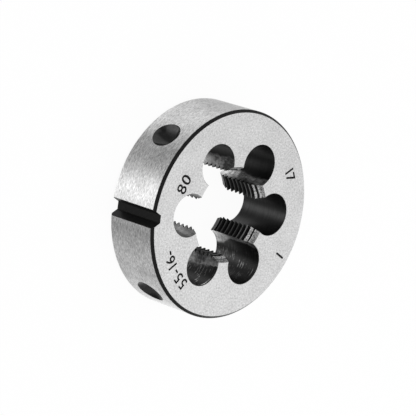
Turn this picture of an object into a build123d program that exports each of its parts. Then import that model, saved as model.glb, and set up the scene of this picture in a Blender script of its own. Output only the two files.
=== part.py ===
"""Solid round threading die for cutting a left-hand M24 x 1.5 external thread by hand.

The die is turned, drilled, tapped and milled from one bar of tool steel, so it is one solid.
Its origin is the centre of the back face that it rests on. +Z runs along its axis, out of the
front face, and +X passes through the middle of a chip hole. All sizes are in millimetres.
"""

from build123d import *
from math import ceil, radians, tan
import os

# Blank
outer_diameter = 55.0
thickness = 16.0
edge_chamfer = 0.7

# Thread, of ISO metric form. Its roots are cut deeper by a clearance, so that only flanks cut
thread_diameter = 24.0
pitch = 1.5
flank_angle = 60.0
left_hand = True
root_clearance = 0.08
thread_start_height = 0.95  # where the groove's middle first passes the +X axis

# Lead at both ends of the bore, where the first threads are cut down so that a rod can start
lead_mouth_diameter = 25.2
lead_length = 2.7

# Chip holes, which break into the bore and leave toothed lands between them
chip_hole_count = 6
chip_hole_diameter = 11.2
chip_hole_circle = 29.75

# V notch that locates the die in its stock
notch_angle = 182.0
notch_depth = 2.5
notch_floor = 2.0
notch_flare = 60.0

# Conical dimples for the clamping screws of the stock, placed by their angles from the notch
dimple_diameter = 8.0
dimple_flare = 90.0
dimple_offsets = (-135.0, -46.2, 50.6, 135.0)

# How far the cutters run past the metal, and the angle left between two thread cutters
overrun = 1.0
thread_overrun = 0.15
thread_cutter_gap = 4.0

# Worked out from the sizes above
outer_radius = outer_diameter / 2
thread_radius = thread_diameter / 2
sharp_thread_height = pitch / 2 / tan(radians(flank_angle / 2))
bore_radius = thread_radius - sharp_thread_height * 5 / 8
lead_mouth_radius = lead_mouth_diameter / 2
land_step = 360 / chip_hole_count

# Cutter for one land's length of the thread groove. The flat across its root is an eighth of the
# pitch at the thread's own diameter, and narrows over the clearance
flank_slope = tan(radians(flank_angle / 2))
cutter_arc = land_step - thread_cutter_gap
cutter_inner_radius = bore_radius - thread_overrun
cutter_outer_radius = thread_radius + root_clearance
cutter_root = pitch / 8 / 2 - root_clearance * flank_slope
cutter_mouth = cutter_root + (cutter_outer_radius - cutter_inner_radius) * flank_slope
with BuildPart() as groove_cutter:
    with BuildLine():
        Helix(
            pitch=pitch,
            height=pitch * cutter_arc / 360,
            radius=bore_radius,
            lefthand=left_hand,
        )
    with BuildSketch(Plane.XZ):
        with BuildLine():
            Polyline(
                (cutter_inner_radius, -cutter_mouth),
                (cutter_outer_radius, -cutter_root),
                (cutter_outer_radius, cutter_root),
                (cutter_inner_radius, cutter_mouth),
                close=True,
            )
        make_face()
    sweep(is_frenet=True)

with BuildPart() as round_die:
    # Turned blank: rim with its two edge chamfers, bore with its two leads. Its section stands at
    # the notch, so that the rim has no seam once the notch is cut
    with BuildSketch(Plane.XZ.rotated((0, 0, notch_angle))):
        with BuildLine():
            Polyline(
                (bore_radius, lead_length),
                (lead_mouth_radius, 0),
                (outer_radius - edge_chamfer, 0),
                (outer_radius, edge_chamfer),
                (outer_radius, thickness - edge_chamfer),
                (outer_radius - edge_chamfer, thickness),
                (lead_mouth_radius, thickness),
                (bore_radius, thickness - lead_length),
                close=True,
            )
        make_face()
    revolve(axis=Axis.Z)

    # Chip holes, drilled through
    with PolarLocations(chip_hole_circle / 2, chip_hole_count):
        Hole(radius=chip_hole_diameter / 2)

    # Thread: a turn by one land, with that land's share of the pitch, carries the groove onto
    # its next length, so the same cutter steps up the bore from one land to the next
    hand = -1 if left_hand else 1
    cutter_start = land_step / 2 - hand * cutter_arc / 2
    cutter_steps = []
    for step in range(ceil((thickness / pitch + 3) * chip_hole_count)):
        cutter_angle = cutter_start + hand * step * land_step
        cutter_height = thread_start_height + (hand * cutter_angle / 360 - 2) * pitch
        cutter_steps.append(Location((0, 0, cutter_height), (0, 0, cutter_angle)))
    with Locations(*cutter_steps):
        add(groove_cutter.part, mode=Mode.SUBTRACT)

    # V notch, milled along the rim
    notch_mouth = notch_floor / 2 + (notch_depth + overrun) * tan(radians(notch_flare / 2))
    with BuildSketch(Plane.XY.rotated((0, 0, notch_angle))):
        with BuildLine():
            Polyline(
                (outer_radius - notch_depth, -notch_floor / 2),
                (outer_radius - notch_depth, notch_floor / 2),
                (outer_radius + overrun, notch_mouth),
                (outer_radius + overrun, -notch_mouth),
                close=True,
            )
        make_face()
    extrude(amount=thickness, mode=Mode.SUBTRACT)

    # Dimples, each a cone at mid-thickness whose tip points at the axis
    dimple_slope = tan(radians(dimple_flare / 2))
    dimple_depth = dimple_diameter / 2 / dimple_slope
    for offset in dimple_offsets:
        with Locations(Location((0, 0, thickness / 2), (0, 0, notch_angle + offset))):
            with Locations((outer_radius - dimple_depth, 0)):
                Cone(
                    bottom_radius=0,
                    top_radius=(dimple_depth + overrun) * dimple_slope,
                    height=dimple_depth + overrun,
                    rotation=(0, 90, 0),
                    align=(Align.CENTER, Align.CENTER, Align.MIN),
                    mode=Mode.SUBTRACT,
                )

round_die.part.label = "round_die"
os.makedirs("parts", exist_ok=True)
export_step(round_die.part, "parts/round_die.step")
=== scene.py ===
"""Dressed model of a round threading die, with its finishes, floor, light and camera.

The die lies on its back face at the origin of the row frame, with its axis along +Z. The shapes
are cut in millimetres, as on a lathe and a mill, and brought to metres when they are finished.
"""

import logging
from dataclasses import dataclass
from enum import Enum
from math import cos, pi, radians, sin, tan
from typing import Any, Optional, Sequence, Union

import bmesh
import bpy
from bpy.types import ColorRamp, Material, Mesh, Node, NodeSocket, NodeTree, Object
from mathutils import Matrix

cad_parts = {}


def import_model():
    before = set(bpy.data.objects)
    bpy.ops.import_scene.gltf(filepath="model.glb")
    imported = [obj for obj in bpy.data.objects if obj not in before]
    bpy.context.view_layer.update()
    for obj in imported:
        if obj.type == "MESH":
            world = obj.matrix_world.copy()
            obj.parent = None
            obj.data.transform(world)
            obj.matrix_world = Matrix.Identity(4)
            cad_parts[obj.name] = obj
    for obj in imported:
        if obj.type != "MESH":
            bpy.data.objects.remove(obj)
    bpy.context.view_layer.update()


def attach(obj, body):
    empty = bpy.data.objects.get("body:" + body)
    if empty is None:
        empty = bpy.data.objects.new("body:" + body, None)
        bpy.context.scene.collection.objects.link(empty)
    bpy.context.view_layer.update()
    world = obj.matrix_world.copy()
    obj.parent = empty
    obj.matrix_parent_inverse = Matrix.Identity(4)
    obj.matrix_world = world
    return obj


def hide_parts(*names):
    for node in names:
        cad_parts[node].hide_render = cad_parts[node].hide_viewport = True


LOG = logging.getLogger("scene")
METRES_PER_MM = 0.001
OVERRUN = 1.0  # how far drills and mills run past the die, in mm
NODE = "round_die"
BODY = "root"

Pair = tuple[float, float]
Triple = tuple[float, float, float]
Operand = Union["Wire", float, int]


class Surface(Enum):
    """Finishes of the die's surfaces, in the order of its materials.

    FACE and RIM are ground, and OXIDE is the black skin of the notch and the edge chamfers. WALL is
    in the chip holes. FLANK and CREST are the sides and tops of the teeth, and the back lead is
    finished as CREST. LEAD is the front lead, MARK the engraving and DIMPLE a clamping dimple.
    """

    FACE = 0
    RIM = 1
    OXIDE = 2
    WALL = 3
    FLANK = 4
    CREST = 5
    LEAD = 6
    MARK = 7
    DIMPLE = 8


# --------------------------------------------------------------------------- node tools


@dataclass(frozen=True)
class Wire:
    """A node's output, which can be used in sums and products as a number.

    Args:
        graph: The graph that new math nodes go into.
        socket: The output socket that carries the value.
    """

    graph: "Graph"
    socket: NodeSocket

    def math(self, operation: str, *others: Operand) -> "Wire":
        """Puts a Math node after this socket.

        Args:
            operation: The Math node's operation.
            others: The other operands, as Wires or numbers.

        Returns:
            The node's result.
        """
        return self.graph.math(operation, self, *others)

    def __add__(self, other: Operand) -> "Wire":
        """This value plus another."""
        return self.math("ADD", other)

    def __radd__(self, other: Operand) -> "Wire":
        """Another value plus this one."""
        return self.graph.math("ADD", other, self)

    def __sub__(self, other: Operand) -> "Wire":
        """This value less another."""
        return self.math("SUBTRACT", other)

    def __rsub__(self, other: Operand) -> "Wire":
        """Another value less this one."""
        return self.graph.math("SUBTRACT", other, self)

    def __mul__(self, other: Operand) -> "Wire":
        """This value times another."""
        return self.math("MULTIPLY", other)

    def __rmul__(self, other: Operand) -> "Wire":
        """Another value times this one."""
        return self.graph.math("MULTIPLY", other, self)


class Graph:
    """A node tree that is filled from code."""

    def __init__(self, tree: NodeTree) -> None:
        """Empties a tree and keeps it.

        Args:
            tree: The shader or geometry tree to fill.
        """
        self.tree = tree
        tree.nodes.clear()

    def node(self, kind: str, settings: Optional[dict[str, Any]] = None, **inputs: Any) -> Node:
        """Adds one node, first its settings and then its sockets.

        Args:
            kind: The node's type.
            settings: Node properties by name, or a ramp's stops.
            inputs: Sockets by name with spaces as underscores, each a plain value or a Wire.

        Returns:
            The new node.
        """
        made = self.tree.nodes.new(kind)
        for name, value in (settings or {}).items():
            if name == "stops":
                self.shade(made.color_ramp, value)
            else:
                setattr(made, name, value)
        for name, value in inputs.items():
            self.feed(made.inputs[name.replace("_", " ")], value)
        return made

    def read(self, output: str, kind: str, *settings: dict[str, Any], **inputs: Any) -> Wire:
        """Adds one node, as node() does, and reads the output of this name."""
        return Wire(self, self.node(kind, *settings, **inputs).outputs[output])

    def shade(self, ramp: ColorRamp, stops: Sequence[Pair]) -> None:
        """Gives a ramp soft grey stops.

        Args:
            ramp: The ramp.
            stops: Place and level of each, in order.
        """
        ramp.interpolation = "EASE"
        while len(ramp.elements) < len(stops):
            ramp.elements.new(0.5)
        for stop, (place, level) in zip(ramp.elements, stops):
            stop.position = place
            stop.color = grey(level)

    def feed(self, socket: NodeSocket, value: Any) -> None:
        """Links a socket or sets its value.

        Args:
            socket: The input socket.
            value: A Wire or a plain value.
        """
        if isinstance(value, Wire):
            self.tree.links.new(value.socket, socket)
        else:
            socket.default_value = value

    def math(self, operation: str, *operands: Operand) -> Wire:
        """Adds a Math node.

        Args:
            operation: The node's operation.
            operands: One to three Wires or numbers.

        Returns:
            The result.
        """
        made = self.node("ShaderNodeMath", {"operation": operation})
        for socket, value in zip(made.inputs, operands):
            self.feed(socket, value)
        return Wire(self, made.outputs["Value"])

    def remap(self, value: Wire, edges: Pair, start: float, end: float) -> Wire:
        """Maps a range smoothly onto another one.

        Args:
            value: The number to map.
            edges: Where the range starts and ends.
            start: The result up to its start.
            end: The result from its end on.

        Returns:
            The mapped number.
        """
        return self.read(
            "Result",
            "ShaderNodeMapRange",
            {"interpolation_type": "SMOOTHSTEP"},
            Value=value,
            From_Min=edges[0],
            From_Max=edges[1],
            To_Min=start,
            To_Max=end,
        )

    def place(self, cells: Triple) -> Wire:
        """The Object coordinates, in cells of these numbers per metre along X, Y and Z."""
        here = self.read("Object", "ShaderNodeTexCoord")
        return self.read("Vector", "ShaderNodeMapping", Vector=here, Scale=cells)

    def parts(self, vector: Wire) -> list[Wire]:
        """The X, Y and Z parts of a vector."""
        split = self.node("ShaderNodeSeparateXYZ", Vector=vector)
        return [Wire(self, output) for output in split.outputs]

    def position(self) -> list[Wire]:
        """The X, Y and Z parts of the Object coordinates, in metres."""
        return self.parts(self.place(even(1.0)))

    def length(self, across: Wire, along: Wire) -> Wire:
        """The length of a flat vector with these two parts."""
        return self.math("SQRT", across * across + along * along)

    def noise(self, cells: Triple, detail: float = 3.0, roughness: float = 0.5) -> Wire:
        """A noise texture on the Object coordinates.

        Args:
            cells: Cells per metre along X, Y and Z.
            detail: The number of octaves.
            roughness: How strong the fine octaves are.

        Returns:
            The noise, about 0.5.
        """
        where = self.place(cells)
        return self.read(
            "Fac", "ShaderNodeTexNoise", Vector=where, Scale=1.0, Detail=detail, Roughness=roughness
        )

    def steel(self, tone: Wire, relief: Wire, **inputs: Any) -> None:
        """Ends a material with a neutral Principled shader.

        Args:
            tone: Its linear reflectance.
            relief: Height of its surface, in metres.
            inputs: The shader's other sockets.
        """
        colour = self.read("Color", "ShaderNodeCombineColor", Red=tone, Green=tone, Blue=tone)
        normal = self.read("Normal", "ShaderNodeBump", Height=relief, Distance=1.0, Strength=1.0)
        shader = self.read("BSDF", "ShaderNodeBsdfPrincipled", Base_Color=colour, Normal=normal, **inputs)
        self.node("ShaderNodeOutputMaterial", Surface=shader)


def swing(noise: Wire) -> Wire:
    """Noise about 0.5, stretched to run from -1 to 1."""
    return (noise - 0.5) * 2.0


def even(cells: float) -> Triple:
    """The same number of cells along X, Y and Z."""
    return (cells, cells, cells)


def grey(level: float) -> tuple[float, float, float, float]:
    """The neutral colour of this linear value."""
    return (level, level, level, 1.0)


def put(name: str, data: Any) -> Object:
    """Makes an object at the origin and links it to the scene.

    Args:
        name: The object's name.
        data: Its mesh, text, light or camera.

    Returns:
        The new object.
    """
    made = bpy.data.objects.new(name, data)
    bpy.context.scene.collection.objects.link(made)
    return made


def close_mesh(mesh: bmesh.types.BMesh, name: str) -> Mesh:
    """Turns the faces of a closed mesh outwards and stores it.

    Args:
        mesh: The mesh that was being built. It is freed.
        name: The stored mesh's name.

    Returns:
        The stored mesh.
    """
    bmesh.ops.recalc_face_normals(mesh, faces=mesh.faces)
    result = bpy.data.meshes.new(name)
    mesh.to_mesh(result)
    mesh.free()
    return result


def new_material(name: str) -> tuple[Material, Graph]:
    """Makes an empty node material.

    Args:
        name: The material's name.

    Returns:
        The material and its graph.
    """
    material = bpy.data.materials.new(name)
    material.use_nodes = True
    return material, Graph(material.node_tree)


# --------------------------------------------------------------------------- finishes
#
# Lengths are in metres here. Cells count a noise's cells per metre, along X, Y and Z where they
# are three. Tones are linear reflectances, and a contrast is the share by which a noise varies one.


@dataclass(frozen=True)
class GroundSteel:
    """Bare ground steel with fine grain, faint clouds, tiny pits and, if wanted, turned lines.

    Args:
        name: The material's name.
        tone: Mean tone.
        grain_cells: Cells of the grain.
        grain_contrast: Contrast of the grain.
        cloud_cells: Cells of the clouds.
        cloud_contrast: Contrast of the clouds.
        roughness: Mean roughness.
        grain_roughness: How far the grain varies the roughness to each side.
        bump: Height of the grain.
        ring_cells: Cells of the turned lines.
        ring_bump: Height of the turned lines, or 0 for none.
        pit_cells: Cells of the pits.
        pit_range: Noise levels between which a pit grows from nothing to full.
        pit_share: Share of the tone that a full pit takes away.
        pit_roughness: How much rougher a full pit is.
        outer_share: Share of the tone that is left outside the outer zone.
        outer_zone: Distances from the axis over which the tone falls to it.
        scatter: Share of the light that is scattered instead of mirrored.
    """

    name: str
    tone: float
    grain_cells: Triple
    grain_contrast: float = 0.10
    cloud_cells: float = 220.0
    cloud_contrast: float = 0.05
    roughness: float = 0.38
    grain_roughness: float = 0.08
    bump: float = 2.0e-6
    ring_cells: Triple = (60.0, 60.0, 9000.0)
    ring_bump: float = 0.0
    pit_cells: float = 4200.0
    pit_range: Pair = (0.62, 0.74)
    pit_share: float = 0.35
    pit_roughness: float = 0.4
    outer_share: float = 1.0
    outer_zone: Pair = (11.9e-3, 12.2e-3)
    scatter: float = 0.0

    def build(self) -> Material:
        """Makes the material.

        Returns:
            The finished material.
        """
        material, graph = new_material(self.name)
        grain = swing(graph.noise(self.grain_cells, detail=4.0, roughness=0.65))
        cloud = swing(graph.noise(even(self.cloud_cells), detail=2.0))
        speck = graph.noise(even(self.pit_cells), detail=1.0)
        pits = graph.remap(speck, self.pit_range, 0.0, self.pit_share)
        tone = self.tone * (1.0 + grain * self.grain_contrast + cloud * self.cloud_contrast)
        tone = tone * (1.0 - pits)
        if self.outer_share < 1.0:
            across, along, _ = graph.position()
            radius = graph.length(across, along)
            tone = tone * graph.remap(radius, self.outer_zone, 1.0, self.outer_share)
        relief = (grain * 0.5 - pits) * self.bump
        if self.ring_bump:
            relief = relief + graph.noise(self.ring_cells, detail=2.0) * self.ring_bump
        graph.steel(
            tone,
            relief,
            Metallic=1.0 - self.scatter,
            Roughness=self.roughness + grain * self.grain_roughness + pits * self.pit_roughness,
        )
        return material


@dataclass(frozen=True)
class BlackOxide:
    """Blackened steel: a dark, half-gloss skin with mottled tone and tool marks, and, where asked,
    painted light that makes it lighter near the front face.

    Args:
        name: The material's name.
        tone: Mean tone of the skin.
        metallic: 1 where the skin is thin and mirrors as metal does.
        roughness: Mean roughness.
        mottle_roughness: How far the mottling varies the roughness to each side.
        gloss: Specular level of the skin.
        mottle_cells: Cells of the mottling.
        mottle_contrast: Contrast of the mottling.
        bump: Height of the tool marks.
        front_gain: How much lighter the skin is painted near the front face, as painted light where more
            light falls on the teeth.
        front_zone: Heights between which that painted light comes in.
    """

    name: str
    tone: float
    metallic: float = 0.0
    roughness: float = 0.35
    mottle_roughness: float = 0.1
    gloss: float = 0.3
    mottle_cells: float = 1400.0
    mottle_contrast: float = 0.5
    bump: float = 3.0e-6
    front_gain: float = 1.0
    front_zone: Pair = (9.5e-3, 13.2e-3)

    def build(self) -> Material:
        """Makes the material.

        Returns:
            The finished material.
        """
        material, graph = new_material(self.name)
        mottle = graph.noise(even(self.mottle_cells), detail=4.0, roughness=0.6)
        tone = self.tone * (1.0 + swing(mottle) * self.mottle_contrast)
        # Painted light: the skin is made lighter towards the front face, where more light falls on the
        # teeth.
        if self.front_gain > 1.0:
            _, _, height = graph.position()
            tone = tone * graph.remap(height, self.front_zone, 1.0, self.front_gain)
        graph.steel(
            tone,
            mottle * self.bump,
            Metallic=self.metallic,
            Roughness=self.roughness + swing(mottle) * self.mottle_roughness,
            Specular_IOR_Level=self.gloss,
        )
        return material


@dataclass(frozen=True)
class Spot:
    """A patch of the walls that fades out with the distance from an upright line.

    Args:
        x: X of the line.
        y: Y of the line.
        reach: Distance at which the patch has faded out.
        strength: Its strength at the line.
    """

    x: float
    y: float
    reach: float
    strength: float


def strength(graph: Graph, spots: Sequence[Spot]) -> Wire:
    """How strong some patches are, all together.

    Args:
        graph: The material's graph.
        spots: The patches.

    Returns:
        The sum of their strengths.
    """
    across, along, _ = graph.position()
    return sum(
        graph.remap(graph.length(across - spot.x, along - spot.y), (0.0, spot.reach), spot.strength, 0.0)
        for spot in spots
    )


@dataclass(frozen=True)
class DrilledWall:
    """Wall of the chip holes: black skin that mirrors faintly, ground off beside the teeth, with painted
    shade at some spots and painted light at the back.

    Args:
        name: The material's name.
        skin_tone: Mean tone of the black skin.
        skin_contrast: Contrast of the drill's streaks in it.
        thick: Spots of painted shade, where the skin is darkened, and the share of its tone that this
            takes away.
        ground_tone: Mean tone where the skin is ground off.
        ground_floor: Least share of that tone.
        ground_radius: Distance from the axis inside which the skin is ground off.
        ground_scatter: Share of the light that the ground metal scatters instead of mirroring.
        grain_contrast: Contrast of the grain in the ground tone.
        patch_contrast: Contrast of the patches in it.
        streak_contrast: Contrast of the streaks in it.
        back_zone: Heights between which the painted light at the back fades into the ground metal's own
            tone.
        back_gain: How much lighter the ground metal is painted at the back, as painted light from behind
            the die.
        back_spread: How much further out the lighter ground tone is painted at the back, as painted light
            from behind the die.
        worn: Where the ground metal is brighter, and the share of its tone that this adds.
        worn_zone: Heights between which that fades out.
        fade: Width over which the skin thins out.
        wander: How far the edge of the skin wanders to each side.
        roughness: Mean roughness.
        grain_roughness: How far the grain varies the roughness to each side.
        gloss: Specular level of what scatters.
        grain_cells: Cells of the grain.
        patch_cells: Cells of the patches.
        streak_cells: Cells of the drill's streaks.
        break_cells: Cells of the gaps in the scoring.
        scored: Where the drill has scored the walls, and how strongly.
        score_tone: The tone that a score of strength 1 adds.
        score_grain: How far the grain roughens the scores' edges.
        score_range: Noise levels between which a streak turns into a score.
        break_range: Noise levels between which a gap in the scoring closes.
        bump: Height of the streaks.
    """

    name: str
    skin_tone: float = 0.048
    skin_contrast: float = 0.5
    # Spots of painted shade, where the walls lie in shade.
    thick: Sequence[Spot] = (
        Spot(12.9e-3, 11.6e-3, 8.0e-3, 0.55),
        Spot(-2.0e-3, 14.9e-3, 3.6e-3, 0.6),
    )
    ground_tone: float = 0.26
    ground_floor: float = 0.25
    ground_radius: float = 14.4e-3
    ground_scatter: float = 0.45
    grain_contrast: float = 1.5
    patch_contrast: float = 2.0
    streak_contrast: float = 0.75
    # Painted light: towards the back the ground metal is made lighter and reaches further out, where
    # light comes in from behind the die.
    back_zone: Pair = (1.0e-3, 7.5e-3)
    back_gain: float = 1.9
    back_spread: float = 2.4e-3
    worn: Sequence[Spot] = (Spot(10.5e-3, 8.2e-3, 3.5e-3, 1.1),)
    worn_zone: Pair = (4.0e-3, 8.0e-3)
    fade: float = 0.8e-3
    wander: float = 1.75e-3
    roughness: float = 0.36
    grain_roughness: float = 0.1
    gloss: float = 0.25
    grain_cells: Triple = (1500.0, 1500.0, 900.0)
    patch_cells: Triple = (170.0, 170.0, 260.0)
    streak_cells: Triple = (260.0, 260.0, 2600.0)
    break_cells: float = 420.0
    scored: Sequence[Spot] = (
        Spot(-5.99e-3, -18.29e-3, 6.5e-3, 4.5),
        Spot(12.7e-3, -14.8e-3, 6.5e-3, 1.0),
    )
    score_tone: float = 0.30
    score_grain: float = 0.15
    score_range: Pair = (0.54, 0.66)
    break_range: Pair = (0.44, 0.56)
    bump: float = 4.0e-6

    def build(self) -> Material:
        """Makes the material.

        Returns:
            The finished material.
        """
        material, graph = new_material(self.name)
        streak = graph.noise(self.streak_cells, detail=3.0, roughness=0.6)
        patch = swing(graph.noise(self.patch_cells, detail=2.0))
        grain = swing(graph.noise(self.grain_cells, detail=4.0, roughness=0.65))
        across, along, height = graph.position()
        skin = self.skin(graph, streak, grain)
        # Painted light: the ground metal is made lighter towards the back, where light comes in from
        # behind; the worn spots add wear.
        back = graph.remap(height, self.back_zone, 1.0, 0.0)
        worn = strength(graph, self.worn) * graph.remap(height, self.worn_zone, 1.0, 0.0)
        gain = (1.0 + back * (self.back_gain - 1.0)) * (1.0 + worn)
        mix = (
            1.0
            + grain * self.grain_contrast
            + patch * self.patch_contrast
            + swing(streak) * self.streak_contrast
        )
        bare = gain * self.ground_tone * mix.math("MAXIMUM", self.ground_floor)
        # The painted light at the back also widens the lighter ground metal.
        reach = graph.length(across, along) - back * self.back_spread
        edge = reach + patch * self.wander + grain * self.fade
        edges = (self.ground_radius - self.fade / 2, self.ground_radius + self.fade / 2)
        ground = graph.remap(edge, edges, 1.0, 0.0)
        graph.steel(
            skin + (bare - skin) * ground,
            streak * self.bump,
            Metallic=1.0 - ground * self.ground_scatter,
            Roughness=self.roughness + grain * self.grain_roughness,
            Specular_IOR_Level=self.gloss,
        )
        return material

    def skin(self, graph: Graph, streak: Wire, grain: Wire) -> Wire:
        """The black skin with the drill's scores in it, darkened by painted shade at some spots.

        Args:
            graph: The material's graph.
            streak: The noise of the drill's streaks.
            grain: The grain, from -1 to 1.

        Returns:
            Its tone.
        """
        # Painted shade: the skin is darkened around the given spots, where the walls lie in shade.
        thick = strength(graph, self.thick)
        tone = self.skin_tone * (1.0 + swing(streak) * self.skin_contrast) * (1.0 - thick)
        lines = graph.remap(streak + grain * self.score_grain, self.score_range, 0.0, 1.0)
        whole = graph.remap(graph.noise(even(self.break_cells)), self.break_range, 0.0, 1.0)
        return tone + lines * strength(graph, self.scored) * whole * self.score_tone


# --------------------------------------------------------------------------- shapes
#
# Lengths are in mm in the shapes and the die, and angles in degrees.


@dataclass(frozen=True)
class Turning:
    """A closed outline in the (radius, height) plane, turned about the Z axis.

    Args:
        name: The mesh's name.
        outline: Corners, anticlockwise when radius is drawn to the right.
        surfaces: The finish of the side that starts at each corner.
        segments: How many facets go round.
    """

    name: str
    outline: Sequence[Pair]
    surfaces: Sequence[Surface]
    segments: int

    def build(self) -> Mesh:
        """Turns the outline.

        Returns:
            A closed mesh.
        """
        mesh = bmesh.new()
        rings = []
        for radius, height in self.outline:
            count = self.segments if radius else 1
            turns = (2 * pi * step / count for step in range(count))
            rings.append(
                [mesh.verts.new((radius * cos(turn), radius * sin(turn), height)) for turn in turns]
            )
        for index, surface in enumerate(self.surfaces):
            here, there = rings[index], rings[(index + 1) % len(rings)]
            if len(here) == len(there) == 1:
                continue
            for step in range(self.segments):
                after = (step + 1) % self.segments
                corners = [
                    ring[place % len(ring)]
                    for ring, place in ((here, step), (here, after), (there, after), (there, step))
                ]
                face = mesh.faces.new(list(dict.fromkeys(corners)))
                face.material_index = surface.value
        return close_mesh(mesh, self.name)


@dataclass(frozen=True)
class Workshop:
    """Scratch objects, and the cutting of one by others.

    Args:
        materials: The die's materials, in the order of Surface.
    """

    materials: Sequence[Material]

    def object(self, mesh: Mesh, place: Optional[Matrix] = None) -> Object:
        """Links a mesh as an object that has all the die's materials.

        Args:
            mesh: The mesh.
            place: Where it goes. The vertices are moved and the object stays at the origin.

        Returns:
            The new object.
        """
        if place is not None:
            mesh.transform(place)
        for material in self.materials:
            mesh.materials.append(material)
        return put(mesh.name, mesh)

    def freeze(self, target: Object, name: str) -> Mesh:
        """Applies an object's modifiers to a new mesh and removes the object.

        Args:
            target: The object.
            name: The new mesh's name.

        Returns:
            The finished mesh.
        """
        bpy.context.view_layer.update()
        graph = bpy.context.evaluated_depsgraph_get()
        result = bpy.data.meshes.new_from_object(target.evaluated_get(graph), depsgraph=graph)
        result.name = name
        target.modifiers.clear()
        bpy.data.objects.remove(target)
        return result

    def cut(self, blank: Object, cutters: Sequence[Object], name: str) -> Mesh:
        """Cuts a blank, so that each cut keeps the finish of its cutter.

        Args:
            blank: The object to cut.
            cutters: The objects that are taken away from it, in order.
            name: The new mesh's name.

        Returns:
            The cut mesh.
        """
        for cutter in cutters:
            step = blank.modifiers.new(cutter.name, "BOOLEAN")
            step.operation = "DIFFERENCE"
            step.solver = "EXACT"
            step.material_mode = "TRANSFER"
            step.object = cutter
        result = self.freeze(blank, name)
        for cutter in cutters:
            bpy.data.objects.remove(cutter)
        return result


class Tree:
    """A Geometry Nodes modifier whose tree is built in code."""

    def __init__(self, name: str, values: dict[str, Any]) -> None:
        """Starts a tree with named inputs.

        Args:
            name: The tree's name.
            values: What the modifier sets each input to.
        """
        self.group = bpy.data.node_groups.new(name, "GeometryNodeTree")
        self.graph = Graph(self.group)
        self.values: dict[str, Any] = {}
        sides = self.group.interface
        sides.new_socket("Geometry", in_out="OUTPUT", socket_type="NodeSocketGeometry")
        for label, value in values.items():
            # A value's class and its socket share a name: Float, Int, Object or Material
            kind = f"NodeSocket{type(value).__name__.capitalize()}"
            item = sides.new_socket(label, in_out="INPUT", socket_type=kind)
            self.values[item.identifier] = value
        entry = self.graph.node("NodeGroupInput")
        self.inputs = [Wire(self.graph, entry.outputs[label]) for label in values]

    def run(self, geometry: Wire, material: Wire, workshop: Workshop) -> Object:
        """Ends the tree with Realize Instances and Set Material, and runs it once.

        Args:
            geometry: What the tree makes.
            material: Its material.
            workshop: Where the result goes.

        Returns:
            An object with the tree's name and mesh, and no modifier.
        """
        graph = self.graph
        real = graph.read("Geometry", "GeometryNodeRealizeInstances", Geometry=geometry)
        dressed = graph.read("Geometry", "GeometryNodeSetMaterial", Geometry=real, Material=material)
        graph.node("NodeGroupOutput", Geometry=dressed)
        name = self.group.name
        carrier = put(f"{name}_carrier", bpy.data.meshes.new(f"{name}_carrier"))
        step = carrier.modifiers.new(name, "NODES")
        step.node_group = self.group
        for identifier, value in self.values.items():
            step[identifier] = value
        return put(name, workshop.freeze(carrier, name))


# --------------------------------------------------------------------------- the die


@dataclass(frozen=True)
class Blank:
    """The turned blank: rim, edge chamfers, bore and the lead at each end of it.

    Args:
        diameter: Outer diameter.
        thickness: Height.
        chamfer: Edge chamfer.
        bore_radius: Radius of the teeth's crests.
        lead_radius: Radius of the lead's mouth.
        lead_length: Length of the lead.
        segments: Facets round the axis.
    """

    diameter: float = 55.0
    thickness: float = 16.0
    chamfer: float = 0.7
    bore_radius: float = 11.188
    lead_radius: float = 12.6
    lead_length: float = 2.7
    segments: int = 540

    def build(self) -> Mesh:
        """Turns the blank.

        Returns:
            A closed mesh.
        """
        rim, top = self.diameter / 2, self.thickness
        outline = (
            (self.bore_radius, self.lead_length),
            (self.lead_radius, 0.0),
            (rim - self.chamfer, 0.0),
            (rim, self.chamfer),
            (rim, top - self.chamfer),
            (rim - self.chamfer, top),
            (self.lead_radius, top),
            (self.bore_radius, top - self.lead_length),
        )
        front = (Surface.RIM, Surface.OXIDE, Surface.FACE, Surface.LEAD, Surface.CREST)
        surfaces = (Surface.CREST, Surface.FACE, Surface.OXIDE, *front)
        return Turning("blank", outline, surfaces, self.segments).build()


@dataclass(frozen=True)
class ChipHoles:
    """The drilled chip holes that break the bore into lands.

    Args:
        count: How many there are.
        radius: Radius of each.
        circle_radius: Radius of the circle that they stand on.
        mouth: Width of the broken edge at each mouth.
        segments: Facets round each hole.
    """

    count: int = 6
    radius: float = 5.6
    circle_radius: float = 14.875
    mouth: float = 0.09
    segments: int = 180

    def build(self, workshop: Workshop, thickness: float) -> Object:
        """Repeats one drill round the circle.

        Args:
            workshop: Where the cutters go.
            thickness: The blank's height.

        Returns:
            One object with all the drills.
        """
        wide = self.radius + self.mouth + OVERRUN
        outline = (
            (0.0, -OVERRUN),
            (wide, -OVERRUN),
            (self.radius, self.mouth),
            (self.radius, thickness - self.mouth),
            (wide, thickness + OVERRUN),
            (0.0, thickness + OVERRUN),
        )
        drill = workshop.object(Turning("drill", outline, (Surface.WALL,) * 6, self.segments).build())
        tree = Tree(
            "chip_holes",
            {
                "Drill": drill,
                "Count": self.count,
                "Circle Radius": self.circle_radius,
                "Finish": workshop.materials[Surface.WALL.value],
            },
        )
        graph = tree.graph
        cutter, count, radius, finish = tree.inputs
        ring = graph.read("Mesh", "GeometryNodeMeshCircle", Vertices=count, Radius=radius)
        source = graph.read("Geometry", "GeometryNodeObjectInfo", Object=cutter, As_Instance=True)
        copies = graph.read("Instances", "GeometryNodeInstanceOnPoints", Points=ring, Instance=source)
        made = tree.run(copies, finish, workshop)
        bpy.data.objects.remove(drill)
        return made


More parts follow.
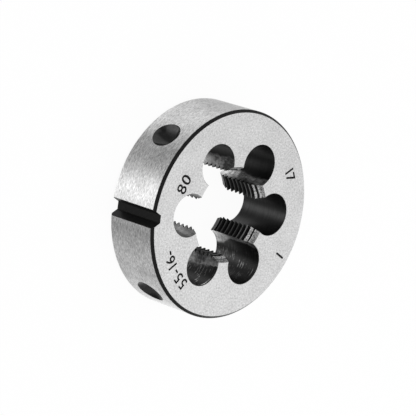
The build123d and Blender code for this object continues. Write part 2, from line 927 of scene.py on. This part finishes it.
@dataclass(frozen=True)
class Thread:
    """The left-hand thread that the lands' teeth are cut with.

    Args:
        diameter: Outer diameter.
        pitch: Rise in one turn.
        flank_angle: Angle between the flanks.
        start_height: Height at which the groove's middle first passes +X.
        clearance: Extra depth of the roots.
        overrun: How far the groove's cutter reaches into the bore.
        turns_below: Whole turns of the cutter below the start height.
        turns_above: Turns of the cutter that are left over above the die.
        stations: Steps of the groove in one turn.
    """

    diameter: float = 24.0
    pitch: float = 1.5
    flank_angle: float = 60.0
    start_height: float = 0.95
    clearance: float = 0.08
    overrun: float = 0.15
    turns_below: int = 2
    turns_above: int = 3
    stations: int = 144

    def build(self, workshop: Workshop, blank: Blank) -> Object:
        """Sweeps the groove's section along its helix.

        Args:
            workshop: Where the cutter goes.
            blank: The blank that it cuts.

        Returns:
            The groove's cutter.
        """
        slope = tan(radians(self.flank_angle / 2))
        outer = self.diameter / 2 + self.clearance
        inner = blank.bore_radius - self.overrun
        # The flat across the root is an eighth of the pitch, and narrows over the clearance
        root = self.pitch / 8 - 2 * self.clearance * slope
        mouth = root + 2 * (outer - inner) * slope
        turns = int(blank.thickness / self.pitch) + self.turns_below + self.turns_above
        tree = Tree(
            "thread_groove",
            {
                "Turns": float(turns),
                "Stations": self.stations,
                "Radius": (outer + inner) / 2,
                "Rise": turns * self.pitch,
                "Depth": outer - inner,
                "Mouth": mouth,
                "Root": root,
                "Start": self.start_height - self.turns_below * self.pitch,
                "Finish": workshop.materials[Surface.FLANK.value],
            },
        )
        graph = tree.graph
        rotations, stations, radius, rise, depth, wide, narrow, start, finish = tree.inputs
        helix = graph.read(
            "Curve",
            "GeometryNodeCurveSpiral",
            Resolution=stations,
            Rotations=rotations,
            Start_Radius=radius,
            End_Radius=radius,
            Height=rise,
            Reverse=False,
        )
        upright = graph.read("Curve", "GeometryNodeSetCurveNormal", {"mode": "Z_UP"}, Curve=helix)
        section = graph.read(
            "Curve",
            "GeometryNodeCurvePrimitiveQuadrilateral",
            {"mode": "TRAPEZOID"},
            Height=depth,
            Bottom_Width=wide,
            Top_Width=narrow,
            Offset=0.0,
        )
        turned = graph.read(
            "Geometry", "GeometryNodeTransform", Geometry=section, Rotation=(0.0, 0.0, pi / 2)
        )
        groove = graph.read(
            "Mesh", "GeometryNodeCurveToMesh", Curve=upright, Profile_Curve=turned, Fill_Caps=True
        )
        lift = graph.read("Vector", "ShaderNodeCombineXYZ", Z=start)
        raised = graph.read("Geometry", "GeometryNodeTransform", Geometry=groove, Translation=lift)
        return tree.run(raised, finish, workshop)


@dataclass(frozen=True)
class Notch:
    """The V notch along the rim.

    Args:
        angle: Its direction from the axis.
        depth: Depth below the rim.
        floor: Width of its floor.
        flare: Angle between its walls.
    """

    angle: float = 182.0
    depth: float = 2.5
    floor: float = 2.0
    flare: float = 60.0

    def build(self, workshop: Workshop, blank: Blank) -> Object:
        """Makes the cutter.

        Args:
            workshop: Where it goes.
            blank: The blank that it cuts.

        Returns:
            The cutter.
        """
        inner = blank.diameter / 2 - self.depth
        outer = blank.diameter / 2 + OVERRUN
        mouth = self.floor / 2 + (self.depth + OVERRUN) * tan(radians(self.flare / 2))
        outline = ((inner, -self.floor / 2), (outer, -mouth), (outer, mouth), (inner, self.floor / 2))
        mesh = bmesh.new()
        lower, upper = (
            [mesh.verts.new((x, y, height)) for x, y in outline]
            for height in (-OVERRUN, blank.thickness + OVERRUN)
        )
        mesh.faces.new(lower[::-1])
        mesh.faces.new(upper)
        for here, after in ((0, 1), (1, 2), (2, 3), (3, 0)):
            mesh.faces.new((lower[here], lower[after], upper[after], upper[here]))
        for face in mesh.faces:
            face.material_index = Surface.OXIDE.value
        turned = Matrix.Rotation(radians(self.angle), 4, "Z")
        return workshop.object(close_mesh(mesh, "notch"), turned)


@dataclass(frozen=True)
class Dimples:
    """The conical dimples for clamping screws.

    Args:
        angles: Their directions from the axis.
        diameter: Diameter at the rim.
        flare: Angle of the cone.
        segments: Facets round each cone.
    """

    angles: Sequence[float] = (47.0, 135.8, 232.6, 317.0)
    diameter: float = 8.0
    flare: float = 90.0
    segments: int = 120

    def build(self, workshop: Workshop, blank: Blank) -> list[Object]:
        """Makes one cutter for each dimple.

        Args:
            workshop: Where they go.
            blank: The blank that they cut.

        Returns:
            The cutters.
        """
        slope = tan(radians(self.flare / 2))
        depth = self.diameter / 2 / slope
        length = depth + OVERRUN
        outline = ((0.0, 0.0), (length * slope, length), (0.0, length))
        made = []
        for number, angle in enumerate(self.angles, start=1):
            cone = Turning(f"dimple_{number}", outline, (Surface.DIMPLE,) * 3, self.segments).build()
            place = (
                Matrix.Rotation(radians(angle), 4, "Z")
                @ Matrix.Translation((blank.diameter / 2 - depth, 0.0, blank.thickness / 2))
                @ Matrix.Rotation(pi / 2, 4, "Y")
            )
            made.append(workshop.object(cone, place))
        return made


@dataclass(frozen=True)
class Mark:
    """One engraved sign on the front face.

    Args:
        sign: The digit or stroke.
        angle: Direction of its middle from the axis.
        radius: Distance of its middle from the axis.
        height: Height of a digit.
        weight: How much its strokes are widened, as a share of the font's size.
    """

    sign: str
    angle: float
    radius: float
    height: float = 3.1
    weight: float = 0.015


@dataclass(frozen=True)
class Marks:
    """Plain engraved numbers on the front face, read clockwise with their tops outwards.

    Args:
        marks: The signs.
        depth: Depth of the engraving.
        overrun: How far the cutters stand out.
        weld: Distance below which the corners of a sign are merged.
        digit_height: Height of a digit of the built-in font at size 1.
        curve_steps: Steps of each curved piece of a digit's outline.
    """

    marks: Sequence[Mark] = (
        Mark("8", 160.4, 20.5, 3.4, 0.012),
        Mark("0", 153.0, 20.5, 3.4, 0.018),
        Mark("5", 232.6, 22.5),
        Mark("5", 226.4, 22.5),
        Mark("-", 221.2, 22.5),
        Mark("1", 216.0, 22.5),
        Mark("6", 211.0, 22.5),
        Mark("-", 206.0, 22.5),
        Mark("1", 31.3, 22.4, 3.2),
        Mark("7", 26.6, 22.4, 3.2),
        Mark("1", -28.3, 23.6, 3.2),
    )
    depth: float = 0.15
    overrun: float = 0.5
    weld: float = 1.0e-4
    digit_height: float = 0.729
    curve_steps: int = 8

    def build(self, workshop: Workshop, blank: Blank) -> Object:
        """Makes the cutters.

        Args:
            workshop: Where they go.
            blank: The blank that they cut.

        Returns:
            One object with all the signs.
        """
        mesh = bmesh.new()
        for mark in self.marks:
            mesh.from_mesh(self.sign(mark, blank.thickness, workshop))
        bmesh.ops.remove_doubles(mesh, verts=mesh.verts, dist=self.weld)
        for face in mesh.faces:
            face.material_index = Surface.MARK.value
        return workshop.object(close_mesh(mesh, "marks"))

    def sign(self, mark: Mark, top: float, workshop: Workshop) -> Mesh:
        """Makes one sign's cutter from the built-in font.

        Args:
            mark: The sign.
            top: Height of the face.
            workshop: Where the text is turned into a mesh.

        Returns:
            A closed mesh, in its place.
        """
        size = mark.height / self.digit_height
        text = bpy.data.curves.new("sign", "FONT")
        text.body = mark.sign
        text.size = size
        text.align_x = "CENTER"
        text.offset = mark.weight * size
        text.extrude = (self.depth + self.overrun) / 2
        text.resolution_u = self.curve_steps
        mesh = workshop.freeze(put("sign", text), "sign")
        bpy.data.curves.remove(text)
        mesh.transform(
            Matrix.Rotation(radians(mark.angle), 4, "Z")
            @ Matrix.Translation((mark.radius, 0.0, top + (self.overrun - self.depth) / 2))
            @ Matrix.Rotation(-pi / 2, 4, "Z")
            @ Matrix.Translation((0.0, -mark.height / 2, 0.0))
        )
        return mesh


@dataclass(frozen=True)
class RoundDie:
    """The whole die as one solid piece.

    Args:
        blank: The turned blank.
        holes: The chip holes.
        thread: The thread.
        notch: The V notch.
        dimples: The clamping dimples.
        marks: The engraved numbers.
        smooth_angle: Edges that turn by less than this are shaded smooth.
    """

    blank: Blank = Blank()
    holes: ChipHoles = ChipHoles()
    thread: Thread = Thread()
    notch: Notch = Notch()
    dimples: Dimples = Dimples()
    marks: Marks = Marks()
    smooth_angle: float = 20.0

    def finishes(self) -> list[Material]:
        """Makes the materials, in the order of Surface.

        Returns:
            The materials.
        """
        built = {
            Surface.FACE: GroundSteel(
                "face_ground", 0.62, even(2000.0), grain_contrast=0.65, cloud_contrast=0.12
            ),
            Surface.RIM: GroundSteel(
                "rim_ground", 0.68, (1100.0, 1100.0, 4200.0), grain_contrast=1.25,
                cloud_contrast=0.25, ring_bump=14.0e-6, roughness=0.32,
            ),
            Surface.OXIDE: BlackOxide("black_oxide", 0.009, gloss=0.1),
            Surface.WALL: DrilledWall("hole_wall"),
            Surface.FLANK: BlackOxide("flank_oxide", 0.004, roughness=0.4, gloss=0.12),
            # Painted light: the crests are made up to six times lighter near the front face, where more
            # light falls on the teeth.
            Surface.CREST: BlackOxide(
                "crest_worn", 0.035, roughness=0.4, gloss=0.2, mottle_contrast=0.9, front_gain=6.0
            ),
            Surface.LEAD: GroundSteel(
                "lead_ground", 0.96, even(2600.0), grain_contrast=1.2, cloud_contrast=0.3,
                roughness=0.34, pit_cells=3400.0, pit_range=(0.47, 0.60), pit_share=0.75,
                outer_share=0.55, scatter=0.3,
            ),
            Surface.MARK: BlackOxide("mark_black", 0.006, roughness=0.6, gloss=0.1),
            Surface.DIMPLE: BlackOxide("dimple_skin", 0.05, metallic=1.0, roughness=0.12),
        }
        return [built[surface].build() for surface in Surface]

    def build(self) -> Object:
        """Cuts the blank and brings it to metres.

        Returns:
            The die, at the origin.
        """
        workshop = Workshop(self.finishes())
        blank = workshop.object(self.blank.build())
        cutters = [
            self.holes.build(workshop, self.blank.thickness),
            self.thread.build(workshop, self.blank),
            self.notch.build(workshop, self.blank),
            *self.dimples.build(workshop, self.blank),
            self.marks.build(workshop, self.blank),
        ]
        mesh = workshop.cut(blank, cutters, "die")
        mesh.transform(Matrix.Scale(METRES_PER_MM, 4))
        mesh.polygons.foreach_set("use_smooth", [True] * len(mesh.polygons))
        mesh.set_sharp_from_angle(angle=radians(self.smooth_angle))
        return put("die", mesh)

    def dress(self, die: Object) -> None:
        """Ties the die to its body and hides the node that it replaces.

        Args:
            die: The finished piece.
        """
        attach(die, BODY)
        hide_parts(NODE)
        triangles = sum(len(polygon.vertices) - 2 for polygon in die.data.polygons)
        LOG.info("%s: %d triangles, replaces %s", die.name, triangles, NODE)


# --------------------------------------------------------------------------- the studio


@dataclass(frozen=True)
class Studio:
    """The floor, the surround and one soft lamp.

    Args:
        floor_size: Side of the floor, in metres.
        floor_glow: Share of the floor's white that is its own.
        floor_tone: Colour of the rest, which shows the shadow.
        dome: Strength of the dome above the bands.
        bands: Azimuth in degrees and strength of the surround's soft bands, in order.
        horizon: Upward parts of a direction between which the bands fade into the dome.
        card_sides: Azimuths in degrees over which the dark card starts and ends.
        card_edges: Upward parts of a direction over which it starts and ends.
        card_shade: Share of the light that it takes away.
        lamp_place: Where the lamp hangs, in metres.
        lamp_size: Side of the lamp's square, in metres.
        lamp_power: Its power, in watts.
    """

    floor_size: float = 6.0
    floor_glow: float = 0.95
    floor_tone: float = 0.9
    dome: float = 0.96
    bands: Sequence[Pair] = (
        (0.0, 0.74), (20.0, 0.57), (38.0, 0.57), (52.0, 0.80), (65.0, 0.93),
        (95.0, 0.85), (114.0, 0.30), (135.0, 0.33), (148.0, 0.48), (157.0, 0.90),
        (168.0, 1.50), (187.0, 1.45), (195.0, 0.50), (204.0, 0.40), (214.0, 0.16),
        (222.0, 0.30), (232.0, 0.60), (246.0, 0.63), (262.0, 0.58), (277.0, 0.62),
        (300.0, 0.80), (315.0, 0.95), (328.0, 1.35), (345.0, 1.25), (360.0, 0.74),
    )
    horizon: Pair = (0.35, 0.65)
    card_sides: Sequence[Pair] = ((130.0, 145.0), (172.0, 182.0))
    card_edges: Sequence[Pair] = ((0.05, 0.22), (0.55, 0.70))
    card_shade: float = 0.6
    lamp_place: Triple = (0.42, -0.52, 0.62)
    lamp_size: float = 0.4
    lamp_power: float = 0.9

    def build(self) -> None:
        """Makes the floor, the surround and the lamp."""
        self.floor()
        self.world()
        self.lamp()

    def floor(self) -> None:
        """Lays a plain pale floor that shows the die's soft shadow."""
        half = self.floor_size / 2
        outline = ((-half, -half), (half, -half), (half, half), (-half, half))
        mesh = bpy.data.meshes.new("floor")
        mesh.from_pydata([(x, y, 0.0) for x, y in outline], [], [(0, 1, 2, 3)])
        material, graph = new_material("floor_white")
        incoming = graph.read("Incoming", "ShaderNodeNewGeometry")
        ahead = graph.read(
            "Vector", "ShaderNodeVectorMath", {"operation": "SCALE"}, Vector=incoming, Scale=-1.0
        )
        level = self.background(graph, ahead)
        glow = graph.read("Emission", "ShaderNodeEmission", Color=grey(1.0), Strength=level)
        matt = graph.read("BSDF", "ShaderNodeBsdfDiffuse", Color=grey(self.floor_tone))
        glossy = graph.read("Is Glossy Ray", "ShaderNodeLightPath")
        share = glossy * (1.0 - self.floor_glow) + self.floor_glow
        both = graph.node("ShaderNodeMixShader", Fac=share)
        graph.feed(both.inputs[1], matt)
        graph.feed(both.inputs[2], glow)
        graph.node("ShaderNodeOutputMaterial", Surface=Wire(graph, both.outputs["Shader"]))
        mesh.materials.append(material)
        floor = put("floor", mesh)
        LOG.info("floor: %.1f m square", self.floor_size)

    def world(self) -> None:
        """Paints the surround: white, with soft bands where the metal mirrors its lower part."""
        world = bpy.data.worlds.new("studio")
        world.use_nodes = True
        bpy.context.scene.world = world
        graph = Graph(world.node_tree)
        level = self.background(graph, graph.read("Generated", "ShaderNodeTexCoord"))
        around = graph.read("Background", "ShaderNodeBackground", Color=grey(1.0), Strength=level)
        graph.node("ShaderNodeOutputWorld", Surface=around)

    def background(self, graph: Graph, direction: Wire) -> Wire:
        """The background's brightness: plain white to camera and transmission rays.

        Glossy rays see the dome with soft bands by azimuth below it, as from cards beside the die,
        and diffuse rays see the dome's level.

        Args:
            graph: The floor's or the surround's graph.
            direction: The ray's direction.

        Returns:
            The strength.
        """
        across, along, rise = graph.parts(direction)
        turn = (graph.math("ARCTAN2", along, across) * (0.5 / pi)).math("FRACT")
        peak = max(level for _, level in self.bands)
        stops = [(azimuth / 360, level / peak) for azimuth, level in self.bands]
        band = graph.read("Color", "ShaderNodeValToRGB", {"stops": stops}, Fac=turn) * peak
        above = graph.remap(rise, self.horizon, 0.0, 1.0)
        beside = self.window(graph, turn * 360.0, self.card_sides)
        card = beside * self.window(graph, rise, self.card_edges)
        mirrored = (band + (self.dome - band) * above) * (1.0 - card * self.card_shade)
        camera, glossy, through = (
            graph.read(f"Is {ray} Ray", "ShaderNodeLightPath")
            for ray in ("Camera", "Glossy", "Transmission")
        )
        plain = camera.math("MAXIMUM", through)
        return plain + (1.0 - plain) * (self.dome + glossy * (mirrored - self.dome))

    def window(self, graph: Graph, value: Wire, edges: Sequence[Pair]) -> Wire:
        """1 between the ranges over which a soft window opens and closes, and 0 outside them."""
        opening, closing = edges
        return graph.remap(value, opening, 0.0, 1.0) * graph.remap(value, closing, 1.0, 0.0)

    def lamp(self) -> None:
        """Hangs the square soft lamp that faces the die."""
        light = bpy.data.lights.new("key", "AREA")
        light.shape = "SQUARE"
        light.size = self.lamp_size
        light.energy = self.lamp_power
        lamp = put("key", light)
        lamp.location = self.lamp_place
        lamp.rotation_euler = (-lamp.location).to_track_quat("-Z", "Y").to_euler()
        LOG.info("lamp %s: %.1f W", lamp.name, light.energy)


@dataclass(frozen=True)
class Viewpoint:
    """The camera.

    Args:
        place: Its position, in metres.
        right: Its right-hand direction.
        up: Its upward direction.
        ahead: The direction it looks in.
        lens: Focal length, in mm.
        sensor: Sensor width, in mm.
        clip: Nearest and furthest distance that it sees, in metres.
    """

    place: Triple = (-0.43975, 0.10219, 0.43394)
    right: Triple = (0.706190, 0.155542, 0.690726)
    up: Triple = (0.006961, 0.973998, -0.226449)
    ahead: Triple = (0.707988, -0.164724, -0.686745)
    lens: float = 207.7
    sensor: float = 36.0
    clip: Pair = (0.01, 20.0)

    def build(self) -> None:
        """Makes the camera and hands it to the scene."""
        data = bpy.data.cameras.new("camera")
        data.lens = self.lens
        data.sensor_width = self.sensor
        data.clip_start, data.clip_end = self.clip
        camera = put("camera", data)
        columns = Matrix((self.right, self.up, tuple(-part for part in self.ahead))).transposed()
        camera.matrix_world = Matrix.Translation(self.place) @ columns.to_4x4()
        bpy.context.scene.camera = camera
        LOG.info("camera: %.1f mm lens", self.lens)


def main() -> None:
    """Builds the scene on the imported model."""
    logging.basicConfig(level=logging.INFO, format="%(name)s %(message)s")
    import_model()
    bpy.context.scene.view_settings.view_transform = "Standard"
    Viewpoint().build()
    Studio().build()
    die = RoundDie()
    die.dress(die.build())


if __name__ == "__main__":
    main()
